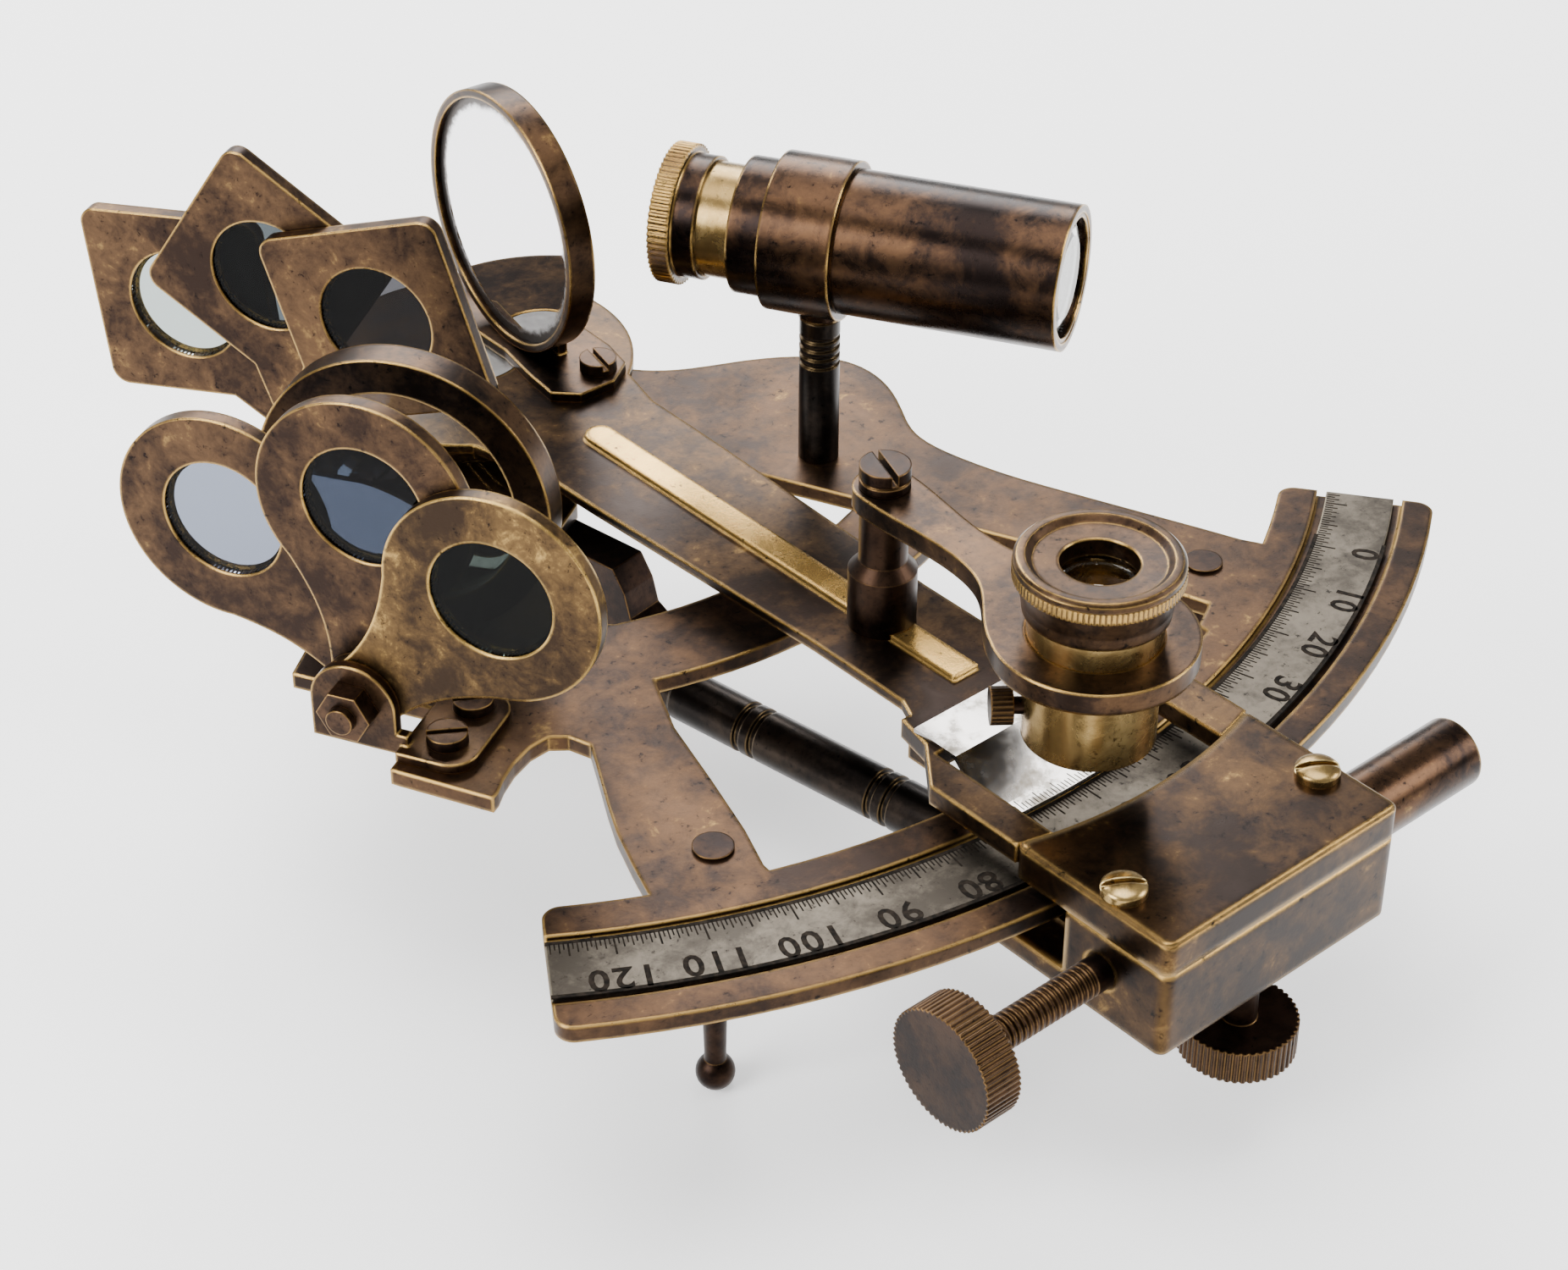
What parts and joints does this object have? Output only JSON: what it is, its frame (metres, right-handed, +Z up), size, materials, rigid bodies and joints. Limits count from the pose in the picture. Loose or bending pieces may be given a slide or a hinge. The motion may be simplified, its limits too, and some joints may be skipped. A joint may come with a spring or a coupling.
{
  "type": "nautical sextant",
  "caption": "Brass vernier sextant on three feet, with index arm, tangent-screw clamp box, index and horizon mirrors, folding shades, telescope and scale reader.",
  "frame": {"origin": "flat tip of the foot under the index-arm pivot, on the pivot axis, in the resting plane", "axes": "+Z up from the resting plane along the pivot axis; the graduated limb lies towards -Y, the zero end of its scale towards +X, the shades and horizon glass towards -X"},
  "size_m": [0.1702, 0.2046, 0.0961],
  "materials": {
    "patinated_brass": "aged, brown patina with bright worn edges",
    "bright_brass": "satin, lightly tarnished",
    "aged_scale_metal": "brushed, darkened silvering",
    "nickel_silver": "polished",
    "blackened_metal": "blackened, satin",
    "spring_steel": "plain drawn",
    "clear_glass": "polished",
    "dark_glass": "polished, neutral tint",
    "silvered_glass": "silvered"
  },
  "bodies": {
    "frame": {"frame_plate": "patinated_brass", "scale_strip": "aged_scale_metal", "limb_and_hub_feet": "blackened_metal", "hub_bearing": "patinated_brass", "pivot_pin": "spring_steel", "handle_rod": "blackened_metal", "handle_brackets": "blackened_metal", "horizon_base": "patinated_brass", "horizon_ring": "patinated_brass", "horizon_glass_clear": "clear_glass", "horizon_glass_silvered": "silvered_glass", "horizon_retaining_ring": "patinated_brass", "shade_brackets": "patinated_brass", "shade_bolts": "patinated_brass", "shade_nuts": "patinated_brass", "shade_washers": "patinated_brass", "frame_screws": "patinated_brass", "telescope_post": "blackened_metal"},
    "telescope": {"telescope_holder": "patinated_brass", "telescope_tube": "patinated_brass", "objective_lens": "clear_glass", "objective_rings": "patinated_brass"},
    "telescope_draw": {"draw_tube": "bright_brass", "eyepiece_cell": "patinated_brass", "eye_lens": "clear_glass"},
    "arm": {"index_arm": "bright_brass", "vernier_plate": "nickel_silver", "vernier_rivets": "bright_brass", "index_mirror_base": "patinated_brass", "index_mirror_screws": "patinated_brass", "index_mirror_rim": "patinated_brass", "index_mirror_glass": "silvered_glass", "clamp_box": "patinated_brass", "clamp_box_cover": "patinated_brass", "cover_screws": "bright_brass", "spring_barrel": "patinated_brass", "barrel_spring": "spring_steel", "reader_post": "blackened_metal", "reader_pivot_screw": "patinated_brass"},
    "reader": {"reader_arm": "patinated_brass"},
    "reader_optics": {"reader_tube": "bright_brass", "reader_eyepiece": "patinated_brass", "reader_lens": "clear_glass", "reader_set_screw": "bright_brass"},
    "block": {"clamp_block": "patinated_brass", "spring_plunger": "spring_steel"},
    "tangent": {"tangent_screw": "patinated_brass"},
    "clamp": {"clamp_screw": "patinated_brass"},
    "round_a": {"round_shade_a": "patinated_brass", "round_shade_glass_a": "dark_glass"},
    "round_b": {"round_shade_b": "patinated_brass", "round_shade_glass_b": "dark_glass"},
    "round_c": {"round_shade_c": "patinated_brass", "round_shade_glass_c": "dark_glass"},
    "square_a": {"square_shade_a": "patinated_brass", "square_shade_glass_a": "dark_glass"},
    "square_b": {"square_shade_b": "patinated_brass", "square_shade_glass_b": "dark_glass"},
    "square_c": {"square_shade_c": "patinated_brass", "square_shade_glass_c": "dark_glass"}
  },
  "joints": [
    {"name": "index_arm_swing", "type": "hinge", "parent": "frame", "child": "arm", "pos_m": [0, 0, 0.045], "axis": [0, 0, 1], "range_deg": [-22, 14]},
    {"name": "reader_swing", "type": "hinge", "parent": "arm", "child": "reader", "pos_m": [-0.00247, -0.09432, 0.0693], "axis": [0, 0, 1], "range_deg": [-8, 16]},
    {"name": "reader_focus", "type": "slide", "parent": "reader", "child": "reader_optics", "axis": [0, 0, 1], "range_m": [-0.002, 0.003]},
    {"name": "telescope_swivel", "type": "hinge", "parent": "frame", "child": "telescope", "pos_m": [0.02728, -0.04993, 0.0683], "axis": [0, 0, 1], "range_deg": [-122.6, 40]},
    {"name": "telescope_focus", "type": "slide", "parent": "telescope", "child": "telescope_draw", "axis": [0.4795, -0.8776, 0], "range_m": [-0.005, 0.0045]},
    {"name": "tangent_screw_turn", "type": "hinge", "parent": "arm", "child": "tangent", "pos_m": [-0.00284, -0.15818, 0.0378], "axis": [0.9997, -0.0262, 0], "range_deg": [-1224.2, 1224.2]},
    {"name": "clamp_block_slide", "type": "slide", "parent": "arm", "child": "block", "axis": [0.9997, -0.0262, 0], "range_m": [-0.0034, 0.0034]},
    {"name": "clamp_screw_turn", "type": "hinge", "parent": "block", "child": "clamp", "pos_m": [-0.00299, -0.16388, 0.0223], "axis": [0, 0, 1], "range_deg": [-180, 30]},
    {"name": "round_shade_a_fold", "type": "hinge", "parent": "frame", "child": "round_a", "pos_m": [-0.06653, -0.05882, 0.0487], "axis": [0.9003, 0.4352, 0], "range_deg": [-125, 18]},
    {"name": "round_shade_b_fold", "type": "hinge", "parent": "frame", "child": "round_b", "pos_m": [-0.06428, -0.05773, 0.0487], "axis": [0.9003, 0.4352, 0], "range_deg": [-90, 56]},
    {"name": "round_shade_c_fold", "type": "hinge", "parent": "frame", "child": "round_c", "pos_m": [-0.06203, -0.05664, 0.0487], "axis": [0.9003, 0.4352, 0], "range_deg": [-44, 104]},
    {"name": "square_shade_a_fold", "type": "hinge", "parent": "frame", "child": "square_a", "pos_m": [-0.03463, -0.00384, 0.0487], "axis": [0.891, 0.454, 0], "range_deg": [-110, 29]},
    {"name": "square_shade_b_fold", "type": "hinge", "parent": "frame", "child": "square_b", "pos_m": [-0.0324, -0.00271, 0.0487], "axis": [0.891, 0.454, 0], "range_deg": [-74, 66]},
    {"name": "square_shade_c_fold", "type": "hinge", "parent": "frame", "child": "square_c", "pos_m": [-0.03018, -0.00157, 0.0487], "axis": [0.891, 0.454, 0], "range_deg": [-36, 104]}
  ],
  "couplings": [
    {"joint": "tangent_screw_turn", "follows": "clamp_block_slide", "rad_per_m": -6283.2}
  ]
}
